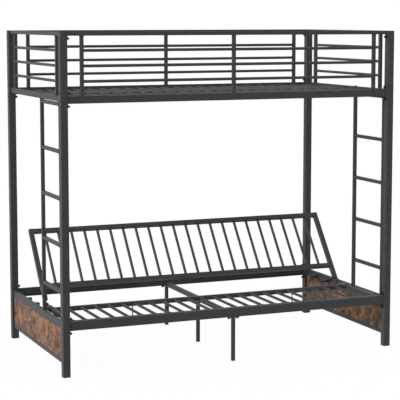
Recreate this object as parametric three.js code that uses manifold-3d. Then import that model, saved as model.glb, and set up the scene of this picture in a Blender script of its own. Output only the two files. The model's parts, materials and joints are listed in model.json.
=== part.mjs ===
// A metal bunk bed with a folding futon below, in millimetres.
// X runs along the bed, Y from the front to the back, Z up from the floor.
// The origin is on the floor at the middle of the bed.
import * as THREE from 'three';
import { mergeVertices } from 'three/addons/utils/BufferGeometryUtils.js';
import Module from 'manifold-3d';

const wasm = await Module();
wasm.setup();

// Overall size, over the four posts
const LENGTH = 1980;
const WIDTH = 1060;
const HEIGHT = 1825;

// Clearances
const WELD_GAP = 0.2; // between faces that are welded, bolted or rest together
const RUNNING_GAP = 0.3; // between pieces that turn or slide on each other
const OVERRUN = 1; // how far a joined or cut shape reaches into its neighbour

// Tube and bar stock
const POST = 40;
const POST_CORNER = 3;
const RAIL = 20; // thickness of every rail
const LIGHT_TUBE = 19; // guard uprights, ladders and centre legs
const FRAME_TUBE = 25; // seat, backrest and centre beam
const TUBE_CORNER = 2;
const BAR = 16; // round slats and guard bars
const WIRE = 6;
const BAR_SIDES = 10;
const WIRE_SIDES = 6;
const ARC_STEPS = 4;
const HINGE_ARC_STEPS = 8;

// Rails, with the height of each tube and the level of its top above the floor
const TOP_RAIL = 20;
const GUARD_RISE = 333; // top of the bed above the deck rails
const DECK_SIDE_RAIL = 40;
const DECK_END_RAIL = 30;
const LOWER_SIDE_LEVEL = 298;
const LOWER_SIDE_RAIL = 50;
const LOWER_END_DROP = 8; // lower end rails' tops below the side rails'
const LOWER_END_RAIL = 40;
const CROSSBAR_LEVEL = 87;
const CROSSBAR = 20;

// Plates welded on the ends of the side rails, and their bolts through the posts
const END_PLATE = 3;
const END_PLATE_WIDTH = 26;
const END_PLATE_REACH = 26; // past the rail's edge
const END_PLATE_DROP = 1.5; // below the top of a top rail, for its weld
const BOLT_REACH = 14.5; // bolt centre past the rail's edge
const BOLT_HOLE = 8.5;
const BOLT_HOLE_SIDES = 8;

// Plastic feet that plug into the posts and centre legs
const FOOT_BASE = 4;
const FOOT_PLUG = 18;
const TUBE_WALL = 1.5;
const LEG_FOOT_LIP = 1.5; // how far a centre leg's foot stands out around its tube

// Guards around the upper bed
const GUARD_SIDE_GAP = 73; // between a post and the upright beside it
const GUARD_END_GAP = 74;
const GUARD_BAR_PITCH = 80.6;
const GUARD_LOWEST_BAR = 75; // above the deck rails
const GUARD_BARS = 3;

// Ladders in both ends
const LADDER_WIDTH = 360;
const LADDER_POST_GAP = 21.5;
const RUNG = 19;
const RUNG_PITCH = 250;
const RUNG_DROP = 14.5; // top rung's centre below the deck end rail

// Wooden end panels and the tabs that hold them
const PANEL = 15;
const PANEL_TAB = 3;
const PANEL_TAB_WIDTH = 25;
const PANEL_TAB_REACH = 28;
const PANEL_TAB_GAP = 82; // outer tabs' centres from the posts

// Slatted deck of the upper bed
const DECK_SPINE = 20; // height of the tube under the middle of the slats
const DECK_SPINE_WIDTH = 20;
const DECK_DROP = 12; // slat tops below the side rails
const DECK_SLATS = 24;

// Futon seat
const SEAT_DROP = 2; // seat's top below the side rails' tops
const SEAT_END_GAP = 26; // from the end rails
const SEAT_FRONT_GAP = 2; // behind the front rail
const SEAT_SETBACK = 102; // seat's back edge in front of the hinge pin
const SLAT_PITCH = 80.1;
const SLAT_DROP = 0.5; // slat tops below the frame's top

// Shelves that carry the futon
const LEDGE = 3;
const LEDGE_DEPTH = 18;
const LEDGE_INNER_END = 180;
const LEDGE_END_GAP = 40; // from the post
const SHELF = 3;
const SHELF_WIDTH = 30;
const SHELF_REACH = 47;
const SHELF_WEB = 12; // height of a shelf's two webs
const SHELF_POST_GAP = 148; // outer shelves' centres from the posts
const SHELF_PITCH = 160;

// Centre legs
const FLANGE = 3;
const FLANGE_LENGTH = 70;

// Folding backrest, with sizes given as it lies flat
const RECLINE = 51.83; // degrees from flat, as it stands in use
const PIVOT_BACK = 0; // hinge pin behind the middle of the bed
const PIVOT_DROP = 2.3; // hinge pin below the top of the seat
const BACKREST_GAP = 7; // from the back rail, as it lies flat
const BACKREST_SETBACK = 107; // lower tube's near edge behind the hinge pin
const ARM_SETBACK = 32; // end of the arm tube from the hinge pin

// Hinges
const HINGE_PLATE = 3;
const HINGE_RADIUS = 11;
const HINGE_PIN = 10;
const TONGUE = 12; // thickness of an arm's tongue, in the outer half of its tube
const TONGUE_ROOT = 15; // how far a tongue runs into its arm tube
const STUB_SETBACK = 28; // end of a bracket's stub tube from the hinge pin
const CHEEK_SLOPE = 55; // length over which the cheeks fall to the seat tube's depth
const PIN_HEAD = 6;
const PIN_HEAD_WIDTH = 17;
const PIN_HEAD_SIDES = 6;

// Wire loops that keep the futon mattress back
const LOOP_INNER = 375;
const LOOP_OUTER = 585;
const LOOP_RISE = 67;
const LOOP_BEND = 24;
const LOOP_STEPS = 20;

// Places that follow from the sizes above
const railX = (LENGTH - POST) / 2;
const railY = (WIDTH - POST) / 2;
const postFaceX = LENGTH / 2 - POST; // inner faces of the posts
const postFaceY = WIDTH / 2 - POST;
const railLength = 2 * (postFaceX - WELD_GAP);
const endRailLength = 2 * (postFaceY - WELD_GAP);
const endRailFace = railX - RAIL / 2;
const sideRailFace = railY - RAIL / 2;
const deckLevel = HEIGHT - GUARD_RISE;
const lowerEndLevel = LOWER_SIDE_LEVEL - LOWER_END_DROP;
const seatLevel = LOWER_SIDE_LEVEL - SEAT_DROP;
const seatUnderside = seatLevel - FRAME_TUBE;
const shelfTop = seatUnderside - RUNNING_GAP;
const seatHalfLength = endRailFace - SEAT_END_GAP;
const seatTubeX = seatHalfLength - FRAME_TUBE / 2;
const SIDES = [['front', -1], ['back', 1]];
const ENDS = [['left', -1], ['right', 1]];

const bed = new THREE.Group();

// Finishes
const finish = (color, roughness, metalness) => (
  new THREE.MeshStandardMaterial({ color, roughness, metalness }));
const paintedSteel = () => finish(0x3b3d40, 0.5, 0.4);
const blackPlastic = () => finish(0x151516, 0.6, 0);
const rusticWood = () => finish(0x9a6a48, 0.7, 0);
const blackBolt = () => finish(0x202123, 0.4, 0.7);

// Places a finished geometry in the bed, or in a group of it.
function place(name, geometry, material, [x, y, z] = [0, 0, 0], group = bed) {
  const mesh = new THREE.Mesh(geometry, material);
  mesh.name = name;
  mesh.position.set(x, y, z);
  group.add(mesh);
  return mesh;
}

// Solid of a closed geometry, for joining and cutting.
function solidOf(geometry) {
  const bare = geometry.clone();
  bare.deleteAttribute('normal');
  bare.deleteAttribute('uv');
  const merged = mergeVertices(bare);
  return new wasm.Manifold(new wasm.Mesh({
    numProp: 3,
    vertProperties: Float32Array.from(merged.attributes.position.array),
    triVerts: Uint32Array.from(merged.index.array),
  }));
}

// Flat-shaded geometry of a solid.
function geometryOf(solid) {
  const mesh = solid.getMesh();
  const indexed = new THREE.BufferGeometry();
  indexed.setAttribute('position', new THREE.BufferAttribute(Float32Array.from(mesh.vertProperties), 3));
  indexed.setIndex(Array.from(mesh.triVerts));
  const geometry = indexed.toNonIndexed();
  geometry.computeVertexNormals();
  return geometry;
}

// One solid from geometries that reach into each other, less the cutters.
function join(geometries, cutters = []) {
  const whole = geometries.map(solidOf).reduce((sum, next) => sum.add(next));
  return geometryOf(cutters.map(solidOf).reduce((rest, cutter) => rest.subtract(cutter), whole));
}

// Turns a shape extruded along Z so that it runs along X or Y, with its height still upright.
function turnAlong(geometry, axis) {
  const X = new THREE.Vector3(1, 0, 0);
  const Y = new THREE.Vector3(0, 1, 0);
  const Z = new THREE.Vector3(0, 0, 1);
  const turn = new THREE.Matrix4();
  if (axis === 'x') turn.makeBasis(Y, Z, X);
  if (axis === 'y') turn.makeBasis(X.clone().negate(), Z, Y);
  return geometry.applyMatrix4(turn);
}

// Shape extruded by a depth along an axis, half each way from the middle.
function extrude(shape, depth, axis, curveSegments = 1) {
  const geometry = new THREE.ExtrudeGeometry(shape, { depth, bevelEnabled: false, curveSegments });
  geometry.translate(0, 0, -depth / 2);
  return turnAlong(geometry, axis);
}

// Outline of a tube: a rectangle with rounded corners.
function tubeOutline(width, height, corner = TUBE_CORNER) {
  const x = width / 2 - corner;
  const y = height / 2 - corner;
  const shape = new THREE.Shape();
  shape.absarc(x, y, corner, 0, Math.PI / 2);
  shape.absarc(-x, y, corner, Math.PI / 2, Math.PI);
  shape.absarc(-x, -y, corner, Math.PI, 1.5 * Math.PI);
  shape.absarc(x, -y, corner, 1.5 * Math.PI, 2 * Math.PI);
  return shape;
}

// Tube along an axis about the origin. Its height is upright, or along Y where the tube stands.
function tube(axis, length, width, height = width, corner = TUBE_CORNER) {
  return extrude(tubeOutline(width, height, corner), length, axis);
}

// Round bar along an axis about the origin.
function bar(axis, length, diameter = BAR, sides = BAR_SIDES) {
  const geometry = new THREE.CylinderGeometry(diameter / 2, diameter / 2, length, sides);
  if (axis === 'x') geometry.rotateZ(-Math.PI / 2);
  if (axis === 'z') geometry.rotateX(Math.PI / 2);
  return geometry;
}

// Square-edged block between two corners.
function block([x0, y0, z0], [x1, y1, z1]) {
  const geometry = new THREE.BoxGeometry(Math.abs(x1 - x0), Math.abs(y1 - y0), Math.abs(z1 - z0));
  return geometry.translate((x0 + x1) / 2, (y0 + y1) / 2, (z0 + z1) / 2);
}

// Places of a pattern that is centred on zero.
function centred(count, pitch) {
  return Array.from({ length: count }, (_, i) => (i - (count - 1) / 2) * pitch);
}

// Levels of the bolts that fasten the side rails, and so of the holes in the posts
const boltLevels = [
  HEIGHT - TOP_RAIL - BOLT_REACH,
  deckLevel + BOLT_REACH,
  deckLevel - DECK_SIDE_RAIL - BOLT_REACH,
  LOWER_SIDE_LEVEL + BOLT_REACH,
  LOWER_SIDE_LEVEL - LOWER_SIDE_RAIL - BOLT_REACH,
];

// Foot with a base under the tube and a plug inside it
function footOf(size, base, corner) {
  const plug = size - 2 * TUBE_WALL - 2 * RUNNING_GAP;
  return join([
    tube('z', FOOT_BASE, base, base, corner).translate(0, 0, FOOT_BASE / 2),
    tube('z', FOOT_PLUG, plug, plug).translate(0, 0, FOOT_BASE + FOOT_PLUG / 2 - OVERRUN),
  ]);
}

// Socket at the lower end of a tube, for a foot's plug
function footSocket(size) {
  const width = size - 2 * TUBE_WALL;
  const depth = FOOT_PLUG + RUNNING_GAP;
  return tube('z', depth + OVERRUN, width, width).translate(0, 0, FOOT_BASE + (depth - OVERRUN) / 2);
}

// Cutter for a bolt's hole along X through a thickness
const boltHole = (thickness) => bar('x', thickness + 2 * OVERRUN, BOLT_HOLE, BOLT_HOLE_SIDES);

// Corner posts
for (const [side, sy] of SIDES) {
  for (const [end, sx] of ENDS) {
    const bottom = FOOT_BASE + WELD_GAP;
    const length = HEIGHT - bottom;
    const holes = boltLevels.map((z) => boltHole(POST).translate(0, 0, z));
    const post = join(
      [tube('z', length, POST, POST, POST_CORNER).translate(0, 0, bottom + length / 2)],
      [footSocket(POST), ...holes],
    );
    const corner = [sx * railX, sy * railY, 0];
    place(`post_${side}_${end}`, post, paintedSteel(), corner);
    place(`foot_${side}_${end}`, footOf(POST, POST, POST_CORNER), blackPlastic(), corner);
  }
}

// End plate of a side rail, drawn in Y and Z. The ends that stand past the rail are round.
function endPlate(top, bottom, roundTop) {
  const half = END_PLATE_WIDTH / 2;
  const shape = new THREE.Shape();
  shape.moveTo(half, bottom + half);
  if (roundTop) shape.absarc(0, top - half, half, 0, Math.PI);
  else shape.lineTo(half, top).lineTo(-half, top);
  shape.absarc(0, bottom + half, half, Math.PI, 2 * Math.PI);
  return extrude(shape, END_PLATE, 'x', ARC_STEPS);
}

// Side rail between two posts, about its own centre, with its bolted end plates
function sideRail(height, isTopRail, extras = []) {
  const plateTop = isTopRail ? height / 2 - END_PLATE_DROP : height / 2 + END_PLATE_REACH;
  const plateBottom = -height / 2 - END_PLATE_REACH;
  const plateX = (railLength - END_PLATE) / 2;
  const boltZ = height / 2 + BOLT_REACH;
  const plates = [-1, 1].map((sx) => (
    endPlate(plateTop, plateBottom, !isTopRail).translate(sx * plateX, 0, 0)));
  const holes = (isTopRail ? [-boltZ] : [-boltZ, boltZ]).flatMap((z) => (
    [-1, 1].map((sx) => boltHole(END_PLATE).translate(sx * plateX, 0, z))));
  return join([tube('x', railLength - END_PLATE, RAIL, height), ...plates, ...extras], holes);
}

// Ledges on the inner face of a lower side rail, one each side of the centre leg
function ledges(sy, railCentre) {
  const outerEnd = postFaceX - LEDGE_END_GAP;
  const root = -sy * (RAIL / 2 - OVERRUN);
  const lip = -sy * (RAIL / 2 + LEDGE_DEPTH);
  const top = shelfTop - railCentre;
  return [-1, 1].map((sx) => block([sx * LEDGE_INNER_END, root, top - LEDGE], [sx * outerEnd, lip, top]));
}

for (const [side, sy] of SIDES) {
  const topCentre = HEIGHT - TOP_RAIL / 2;
  const deckCentre = deckLevel - DECK_SIDE_RAIL / 2;
  const lowerCentre = LOWER_SIDE_LEVEL - LOWER_SIDE_RAIL / 2;
  const lowerRail = sideRail(LOWER_SIDE_RAIL, false, ledges(sy, lowerCentre));
  const topRail = sideRail(TOP_RAIL, true);
  const deckRail = sideRail(DECK_SIDE_RAIL, false);
  place(`top_side_rail_${side}`, topRail, paintedSteel(), [0, sy * railY, topCentre]);
  place(`deck_side_rail_${side}`, deckRail, paintedSteel(), [0, sy * railY, deckCentre]);
  place(`lower_side_rail_${side}`, lowerRail, paintedSteel(), [0, sy * railY, lowerCentre]);
}

// Guard: uprights from the deck rail to the top rail, joined by round bars
function guard(axis, uprights, reach) {
  const height = HEIGHT - TOP_RAIL - deckLevel - 2 * WELD_GAP;
  const along = (geometry, at) => geometry.translate(axis === 'x' ? at : 0, axis === 'y' ? at : 0, 0);
  const posts = uprights.map((at) => along(tube('z', height, LIGHT_TUBE), at)
    .translate(0, 0, WELD_GAP + height / 2));
  const bars = Array.from({ length: GUARD_BARS }, (_, i) => bar(axis, 2 * reach)
    .translate(0, 0, GUARD_LOWEST_BAR + i * GUARD_BAR_PITCH));
  return join([...posts, ...bars]);
}

for (const [side, sy] of SIDES) {
  const outer = postFaceX - GUARD_SIDE_GAP - LIGHT_TUBE / 2;
  place(`guard_${side}`, guard('x', [-outer, 0, outer], outer), paintedSteel(), [0, sy * railY, deckLevel]);
}
for (const [end, sx] of ENDS) {
  const outer = postFaceY - GUARD_END_GAP - LIGHT_TUBE / 2;
  place(`guard_${end}`, guard('y', [-outer, outer], outer), paintedSteel(), [sx * railX, 0, deckLevel]);
}

// Tab that holds a wooden panel, against the panel's inner face
function panelTab(sx, y, from, to) {
  const inner = -sx * (PANEL / 2 + WELD_GAP);
  return block([inner, y - PANEL_TAB_WIDTH / 2, from], [inner - sx * PANEL_TAB, y + PANEL_TAB_WIDTH / 2, to]);
}

function panelTabs(sx, from, to) {
  const outer = postFaceY - PANEL_TAB_GAP;
  return [-outer, 0, outer].map((y) => panelTab(sx, y, from, to));
}

// Channel shelves, open below, on the inner face of a lower end rail. The front two carry the seat's side
// tube, and the back two carry the backrest's, as it lies flat.
function shelves(sx) {
  const root = -sx * (RAIL / 2 - OVERRUN);
  const tip = -sx * (RAIL / 2 + SHELF_REACH);
  const outer = postFaceY - SHELF_POST_GAP;
  const inner = outer - SHELF_PITCH;
  return [-outer, -inner, inner, outer].flatMap((y) => {
    const y0 = y - SHELF_WIDTH / 2;
    const y1 = y + SHELF_WIDTH / 2;
    return [
      block([root, y0, shelfTop - SHELF], [tip, y1, shelfTop]),
      block([root, y0, shelfTop - SHELF_WEB], [tip, y0 + SHELF, shelfTop]),
      block([root, y1 - SHELF, shelfTop - SHELF_WEB], [tip, y1, shelfTop]),
    ];
  });
}

// End rails between the posts, and the wooden panel below
for (const [end, sx] of ENDS) {
  const topRail = tube('y', endRailLength, RAIL, TOP_RAIL).translate(0, 0, -TOP_RAIL / 2);
  place(`top_end_rail_${end}`, topRail, paintedSteel(), [sx * railX, 0, HEIGHT]);

  const deckRail = tube('y', endRailLength, RAIL, DECK_END_RAIL).translate(0, 0, -DECK_END_RAIL / 2);
  place(`deck_end_rail_${end}`, deckRail, paintedSteel(), [sx * railX, 0, deckLevel]);

  const railBottom = lowerEndLevel - LOWER_END_RAIL;
  const lowerTube = tube('y', endRailLength, RAIL, LOWER_END_RAIL)
    .translate(0, 0, railBottom + LOWER_END_RAIL / 2);
  const upperTabs = panelTabs(sx, railBottom - PANEL_TAB_REACH, railBottom + OVERRUN + TUBE_CORNER);
  const lowerRail = join([lowerTube, ...shelves(sx), ...upperTabs]);
  place(`lower_end_rail_${end}`, lowerRail, paintedSteel(), [sx * railX, 0, 0]);

  const crossbar = tube('y', endRailLength, RAIL, CROSSBAR).translate(0, 0, CROSSBAR_LEVEL - CROSSBAR / 2);
  const lowerTabs = panelTabs(sx, CROSSBAR_LEVEL - CROSSBAR / 2, CROSSBAR_LEVEL + PANEL_TAB_REACH);
  place(`crossbar_${end}`, join([crossbar, ...lowerTabs]), paintedSteel(), [sx * railX, 0, 0]);

  const panelHeight = railBottom - CROSSBAR_LEVEL - 2 * WELD_GAP;
  const panelCentre = CROSSBAR_LEVEL + WELD_GAP + panelHeight / 2;
  const panel = new THREE.BoxGeometry(PANEL, endRailLength, panelHeight);
  place(`end_panel_${end}`, panel, rusticWood(), [sx * railX, 0, panelCentre]);
}

// Ladders: two upright tubes and the rungs between them
for (const [end, sx] of ENDS) {
  const bottom = lowerEndLevel + WELD_GAP;
  const top = deckLevel - DECK_END_RAIL - WELD_GAP;
  const frontY = -(postFaceY - LADDER_POST_GAP - LIGHT_TUBE / 2);
  const backY = frontY + LADDER_WIDTH - LIGHT_TUBE;
  const upright = () => tube('z', top - bottom, LIGHT_TUBE).translate(0, 0, (top - bottom) / 2);
  place(`ladder_${end}_front_tube`, upright(), paintedSteel(), [sx * railX, frontY, bottom]);
  place(`ladder_${end}_back_tube`, upright(), paintedSteel(), [sx * railX, backY, bottom]);

  const topRung = top - RUNG_DROP;
  const rungCount = 1 + Math.floor((topRung - bottom - RUNG) / RUNG_PITCH);
  const rungLength = backY - frontY - LIGHT_TUBE - 2 * WELD_GAP;
  for (let i = 0; i < rungCount; i += 1) {
    const level = topRung - (rungCount - 1 - i) * RUNG_PITCH;
    place(`ladder_${end}_rung_${i + 1}`, tube('y', rungLength, RUNG), paintedSteel(),
      [sx * railX, (frontY + backY) / 2, level]);
  }
}

// Upper deck: a spine along the middle with round slats welded through it
{
  const spineLength = 2 * endRailFace - 2 * WELD_GAP;
  const slatLength = 2 * sideRailFace - 2 * WELD_GAP;
  const spine = tube('x', spineLength, DECK_SPINE_WIDTH, DECK_SPINE).translate(0, 0, -DECK_SPINE / 2);
  const slats = centred(DECK_SLATS, spineLength / DECK_SLATS).map((x) => (
    bar('y', slatLength).translate(x, 0, -BAR / 2)));
  place('upper_deck', join([spine, ...slats]), paintedSteel(), [0, 0, deckLevel - DECK_DROP]);
}

// Futon seat: a tube frame with round slats from its front tube to its back tube
const seatFront = -(sideRailFace - SEAT_FRONT_GAP);
const seatBack = PIVOT_BACK - SEAT_SETBACK;
const seatDepth = seatBack - seatFront;
{
  const crossLength = 2 * seatHalfLength;
  const half = FRAME_TUBE / 2;
  const frontTube = tube('x', crossLength, FRAME_TUBE).translate(0, seatFront + half, 0);
  const backTube = tube('x', crossLength, FRAME_TUBE).translate(0, seatBack - half, 0);
  const ends = [-1, 1].map((sx) => tube('y', seatDepth, FRAME_TUBE)
    .translate(sx * seatTubeX, (seatFront + seatBack) / 2, 0));
  const slatZ = half - SLAT_DROP - BAR / 2;
  const innerLength = crossLength - 2 * FRAME_TUBE;
  const slats = centred(Math.floor(innerLength / SLAT_PITCH), SLAT_PITCH).map((x) => (
    bar('y', seatDepth - FRAME_TUBE).translate(x, (seatFront + seatBack) / 2, slatZ)));
  const frame = join([frontTube, backTube, ...ends, ...slats]);
  place('seat_frame', frame, paintedSteel(), [0, 0, seatUnderside + half]);
}

// Beam across the middle that carries the seat
{
  const length = 2 * sideRailFace - 2 * WELD_GAP;
  place('centre_beam', tube('y', length, FRAME_TUBE), paintedSteel(), [0, 0, shelfTop - FRAME_TUBE / 2]);
}

// Centre legs: one under each side rail and one under the beam
const legs = [
  ['front', -railY, LOWER_SIDE_LEVEL - LOWER_SIDE_RAIL, 'x', RAIL],
  ['middle', 0, shelfTop - FRAME_TUBE, 'y', FRAME_TUBE],
  ['back', railY, LOWER_SIDE_LEVEL - LOWER_SIDE_RAIL, 'x', RAIL],
];
for (const [name, y, carried, flangeAxis, flangeWidth] of legs) {
  const bottom = FOOT_BASE + WELD_GAP;
  const top = carried - WELD_GAP;
  const [flangeX, flangeY] = flangeAxis === 'x' ? [FLANGE_LENGTH, flangeWidth] : [flangeWidth, FLANGE_LENGTH];
  const flange = tube('z', FLANGE, flangeX, flangeY).translate(0, 0, top - FLANGE / 2);
  const stem = tube('z', top - bottom, LIGHT_TUBE).translate(0, 0, (top + bottom) / 2);
  place(`centre_leg_${name}`, join([stem, flange], [footSocket(LIGHT_TUBE)]), paintedSteel(), [0, y, 0]);
  const foot = footOf(LIGHT_TUBE, LIGHT_TUBE + 2 * LEG_FOOT_LIP, TUBE_CORNER);
  place(`leg_foot_${name}`, foot, blackPlastic(), [0, y, 0]);
}

// Wire loops on the seat's front tube, each bent in one plane
for (const [end, sx] of ENDS) {
  const half = (LOOP_OUTER - LOOP_INNER) / 2;
  const point = (x, z) => new THREE.Vector3(x, 0, z);
  const shoulder = LOOP_RISE - LOOP_BEND;
  const path = new THREE.CurvePath();
  path.add(new THREE.LineCurve3(point(-half, 0), point(-half, shoulder)));
  path.add(new THREE.QuadraticBezierCurve3(
    point(-half, shoulder), point(-half, LOOP_RISE), point(LOOP_BEND - half, LOOP_RISE)));
  path.add(new THREE.LineCurve3(point(LOOP_BEND - half, LOOP_RISE), point(half - LOOP_BEND, LOOP_RISE)));
  path.add(new THREE.QuadraticBezierCurve3(
    point(half - LOOP_BEND, LOOP_RISE), point(half, LOOP_RISE), point(half, shoulder)));
  path.add(new THREE.LineCurve3(point(half, shoulder), point(half, 0)));
  const section = new THREE.Shape().absarc(0, 0, WIRE / 2, 0, 2 * Math.PI);
  const loop = new THREE.ExtrudeGeometry(section,
    { steps: LOOP_STEPS, extrudePath: path, curveSegments: WIRE_SIDES / 2, bevelEnabled: false });
  place(`wire_loop_${end}`, loop, paintedSteel(),
    [sx * (LOOP_INNER + LOOP_OUTER) / 2, seatFront + FRAME_TUBE / 2, seatLevel + WELD_GAP]);
}

// Hinges. Each has an inner cheek, the arm's tongue and an outer cheek, side by side along the pin. These
// places are measured from the middle of the side tubes towards the end of the bed.
const pivotZ = seatLevel - PIVOT_DROP;
const pinHole = HINGE_PIN + 2 * RUNNING_GAP;
const tongueOuter = FRAME_TUBE / 2;
const tongueInner = tongueOuter - TONGUE;
const outerCheek = tongueOuter + RUNNING_GAP;
const innerCheek = tongueInner - RUNNING_GAP - HINGE_PLATE;
const pinOuter = outerCheek + HINGE_PLATE + RUNNING_GAP;
const pinInner = innerCheek - RUNNING_GAP;
const bracketFront = seatBack + RUNNING_GAP - PIVOT_BACK; // from the pin

// Cheek, drawn in Y and Z about the pin: round at the pin and nearly as deep as the stub tube in front
function cheekOutline() {
  const top = PIVOT_DROP - TUBE_CORNER;
  const bottom = PIVOT_DROP - FRAME_TUBE + TUBE_CORNER;
  const shape = new THREE.Shape();
  shape.moveTo(bracketFront + TUBE_CORNER, bottom);
  shape.lineTo(-CHEEK_SLOPE, bottom);
  shape.absarc(0, 0, HINGE_RADIUS, -0.45 * Math.PI, 0.55 * Math.PI);
  shape.lineTo(-CHEEK_SLOPE, top);
  shape.lineTo(bracketFront + TUBE_CORNER, top);
  return shape;
}

// Puts a bar or plate between two of those places.
const acrossHinge = (geometry, sx, from, to) => geometry.translate(sx * (from + to) / 2, 0, 0);

// Brackets behind the seat, each a stub tube with two cheeks, and the hinge pins
for (const [end, sx] of ENDS) {
  const cheeks = [outerCheek, innerCheek].map((face) => (
    acrossHinge(extrude(cheekOutline(), HINGE_PLATE, 'x', HINGE_ARC_STEPS), sx, face, face + HINGE_PLATE)));
  const stubLength = -STUB_SETBACK - bracketFront;
  const stub = tube('y', stubLength, 2 * outerCheek + HINGE_PLATE, FRAME_TUBE)
    .translate(0, bracketFront + stubLength / 2, PIVOT_DROP - FRAME_TUBE / 2);
  const bore = bar('x', 2 * pinOuter, pinHole);
  place(`hinge_bracket_${end}`, join([...cheeks, stub], [bore]), paintedSteel(),
    [sx * seatTubeX, PIVOT_BACK, pivotZ]);

  const shank = acrossHinge(bar('x', pinOuter - pinInner + OVERRUN, HINGE_PIN), sx, pinInner, pinOuter);
  const heads = [[pinInner - PIN_HEAD, pinInner], [pinOuter, pinOuter + PIN_HEAD]].map(([from, to]) => (
    acrossHinge(bar('x', PIN_HEAD, PIN_HEAD_WIDTH, PIN_HEAD_SIDES), sx, from, to)));
  place(`pivot_bolt_${end}`, join([shank, ...heads]), blackBolt(), [sx * seatTubeX, PIVOT_BACK, pivotZ]);
}

// Backrest, built as it lies flat behind the hinge pin and then raised about it
const backrest = new THREE.Group();
backrest.position.set(0, PIVOT_BACK, pivotZ);
backrest.rotation.x = THREE.MathUtils.degToRad(RECLINE);
bed.add(backrest);

const flatZ = PIVOT_DROP - FRAME_TUBE / 2; // centre plane of the tubes, from the pin
const topEdge = sideRailFace - BACKREST_GAP - PIVOT_BACK;
const backrestDepth = topEdge - BACKREST_SETBACK;
{
  const half = FRAME_TUBE / 2;
  const length = 2 * (seatHalfLength - FRAME_TUBE - WELD_GAP);
  const topTube = tube('x', length, FRAME_TUBE).translate(0, topEdge - half, 0);
  const lowerTube = tube('x', length, FRAME_TUBE).translate(0, BACKREST_SETBACK + half, 0);
  const slats = centred(Math.floor(length / SLAT_PITCH), SLAT_PITCH).map((x) => (
    bar('y', backrestDepth - FRAME_TUBE).translate(x, BACKREST_SETBACK + backrestDepth / 2, 0)));
  const frame = join([topTube, lowerTube, ...slats]);
  place('backrest_frame', frame, paintedSteel(), [0, 0, flatZ], backrest);
}

// Tongue of an arm, drawn in Y and Z about the pin: round at the pin, then into the arm tube
function tongueOutline() {
  const half = FRAME_TUBE / 2 - TUBE_CORNER;
  const root = ARM_SETBACK + TONGUE_ROOT;
  const shape = new THREE.Shape();
  shape.moveTo(ARM_SETBACK, flatZ - half);
  shape.lineTo(root, flatZ - half);
  shape.lineTo(root, flatZ + half);
  shape.lineTo(ARM_SETBACK, flatZ + half);
  shape.absarc(0, 0, HINGE_RADIUS, 0.39 * Math.PI, 1.41 * Math.PI);
  return shape;
}

// Arms: the side tubes of the backrest, each with a tongue that turns between the cheeks of its bracket
for (const [end, sx] of ENDS) {
  const length = topEdge - ARM_SETBACK;
  const arm = tube('y', length, FRAME_TUBE).translate(0, ARM_SETBACK + length / 2, flatZ);
  const plate = extrude(tongueOutline(), TONGUE, 'x', HINGE_ARC_STEPS);
  const tongue = acrossHinge(plate, sx, tongueInner, tongueOuter);
  const bore = bar('x', 2 * pinOuter, pinHole);
  place(`backrest_arm_${end}`, join([arm, tongue], [bore]), paintedSteel(), [sx * seatTubeX, 0, 0], backrest);
}

export default bed;
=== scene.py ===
import json
import math

import bmesh
import bpy
from mathutils import Matrix, Vector


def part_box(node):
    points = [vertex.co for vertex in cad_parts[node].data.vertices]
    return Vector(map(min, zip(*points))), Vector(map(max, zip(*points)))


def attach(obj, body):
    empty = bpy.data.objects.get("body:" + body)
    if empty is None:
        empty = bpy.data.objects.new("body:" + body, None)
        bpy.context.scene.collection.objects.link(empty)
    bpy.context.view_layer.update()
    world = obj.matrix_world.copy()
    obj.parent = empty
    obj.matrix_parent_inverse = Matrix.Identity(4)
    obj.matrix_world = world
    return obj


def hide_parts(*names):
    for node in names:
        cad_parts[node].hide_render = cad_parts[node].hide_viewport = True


# Looks of a metal bunk bed with a folding futon below. Lengths are in metres.

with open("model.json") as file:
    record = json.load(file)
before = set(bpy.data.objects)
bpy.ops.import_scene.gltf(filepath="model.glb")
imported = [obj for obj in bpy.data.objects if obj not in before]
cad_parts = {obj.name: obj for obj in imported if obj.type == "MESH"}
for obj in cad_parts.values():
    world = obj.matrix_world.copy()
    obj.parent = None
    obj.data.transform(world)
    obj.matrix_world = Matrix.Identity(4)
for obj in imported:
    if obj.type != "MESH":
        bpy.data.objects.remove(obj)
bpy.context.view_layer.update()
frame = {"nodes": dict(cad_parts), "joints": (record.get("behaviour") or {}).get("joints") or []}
nodes = frame["nodes"]

# Camera, at the photograph's viewing angle
CAMERA_PLACE = (-3.1724, -7.6534, 1.8972)
CAMERA_TURN = math.radians(22.597)
CAMERA_TILT = math.radians(6.463)
CAMERA_LENS = 128.8
CAMERA_SHIFT = -0.05
CAMERA_RANGE = 100

# Light and floor
WORLD_LIGHT = 0.70
KEY_STRENGTH = 2.8
KEY_TURN = (math.radians(60), 0, math.radians(-74))
KEY_SOFTNESS = math.radians(40)
FLOOR_SIZE = 60
FLOOR_COLOUR = (0.5, 0.5, 0.5, 1)
FLOOR_WHITENESS = 0.94  # how much of the floor is plain white where it is seen directly
FLOOR_GLOW = 1.028  # of that white, so that the lit floor comes out like the backdrop


def make_camera():
    data = bpy.data.cameras.new("camera")
    data.lens = CAMERA_LENS
    data.shift_y = CAMERA_SHIFT
    data.clip_end = CAMERA_RANGE
    camera = bpy.data.objects.new("camera", data)
    camera.location = CAMERA_PLACE
    camera.rotation_euler = (math.pi / 2 - CAMERA_TILT, 0, -CAMERA_TURN)
    bpy.context.scene.collection.objects.link(camera)
    bpy.context.scene.camera = camera


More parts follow.
